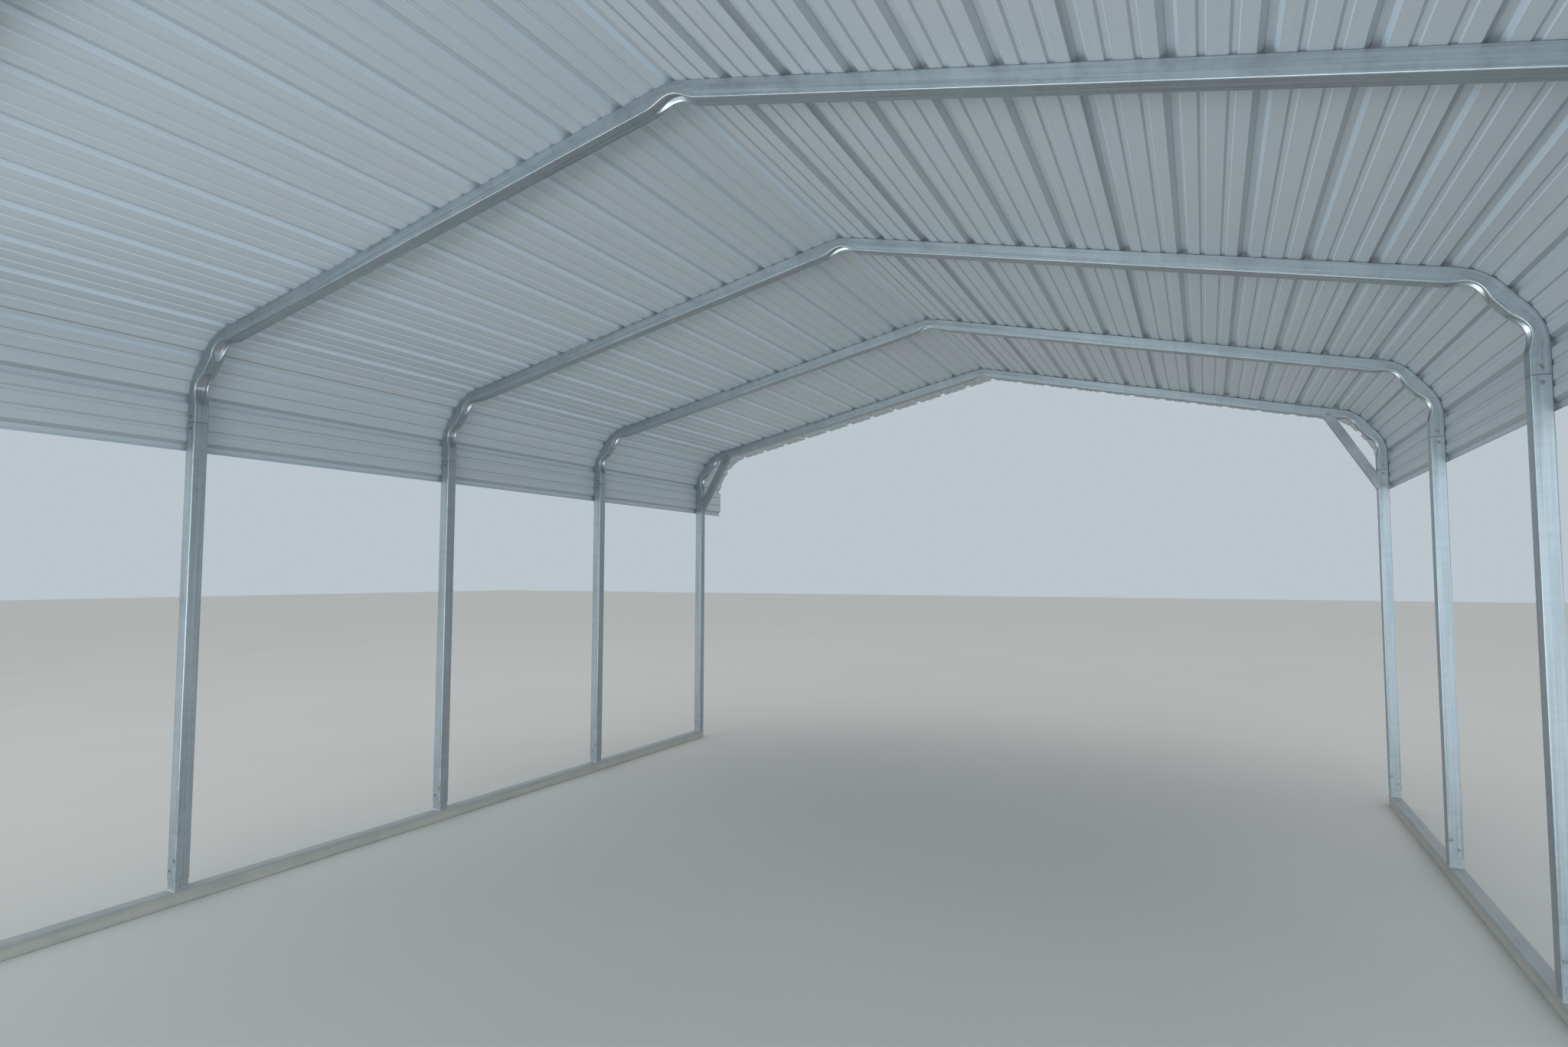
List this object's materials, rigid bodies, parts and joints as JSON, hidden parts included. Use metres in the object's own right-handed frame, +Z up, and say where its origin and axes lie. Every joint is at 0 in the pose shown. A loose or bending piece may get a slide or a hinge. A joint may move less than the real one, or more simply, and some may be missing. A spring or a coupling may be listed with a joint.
{
  "type": "carport",
  "caption": "Open-sided carport: bent galvanised square-tube bows on tube legs and base rails, under ribbed steel sheets with rounded eaves.",
  "frame": {"origin": "on the ground under the middle of the roof: centre of the bounding box in X and Y, its lowest plane in Z", "axes": "+X across the bay to the right seen from the front, +Y along the bay from front to back, +Z up"},
  "size_m": [5.5248, 6.9594, 3.242],
  "materials": {
    "galvanised_tube": "zinc-coated steel tube, dull bluish grey with faint lengthwise streaks and bright edges",
    "galvanised_strip": "zinc-coated folded steel strip, dull grey",
    "coated_sheet": "pale grey-blue coated steel sheet, satin, lightly dusty in the ribs"
  },
  "bodies": {
    "root": {"base_rail_left": "galvanised_tube", "leg_left_1": "galvanised_tube", "leg_left_2": "galvanised_tube", "leg_left_3": "galvanised_tube", "leg_left_4": "galvanised_tube", "leg_left_5": "galvanised_tube", "base_rail_right": "galvanised_tube", "leg_right_1": "galvanised_tube", "leg_right_2": "galvanised_tube", "leg_right_3": "galvanised_tube", "leg_right_4": "galvanised_tube", "leg_right_5": "galvanised_tube", "bow_1": "galvanised_tube", "bow_2": "galvanised_tube", "bow_3": "galvanised_tube", "bow_4": "galvanised_tube", "bow_5": "galvanised_tube", "brace_left_front": "galvanised_strip", "brace_left_back": "galvanised_strip", "brace_right_front": "galvanised_strip", "brace_right_back": "galvanised_strip", "roof_sheet_ridge": "coated_sheet", "roof_sheet_left_1": "coated_sheet", "roof_sheet_left_2": "coated_sheet", "roof_sheet_left_3": "coated_sheet", "roof_sheet_right_1": "coated_sheet", "roof_sheet_right_2": "coated_sheet", "roof_sheet_right_3": "coated_sheet"}
  },
  "joints": []
}
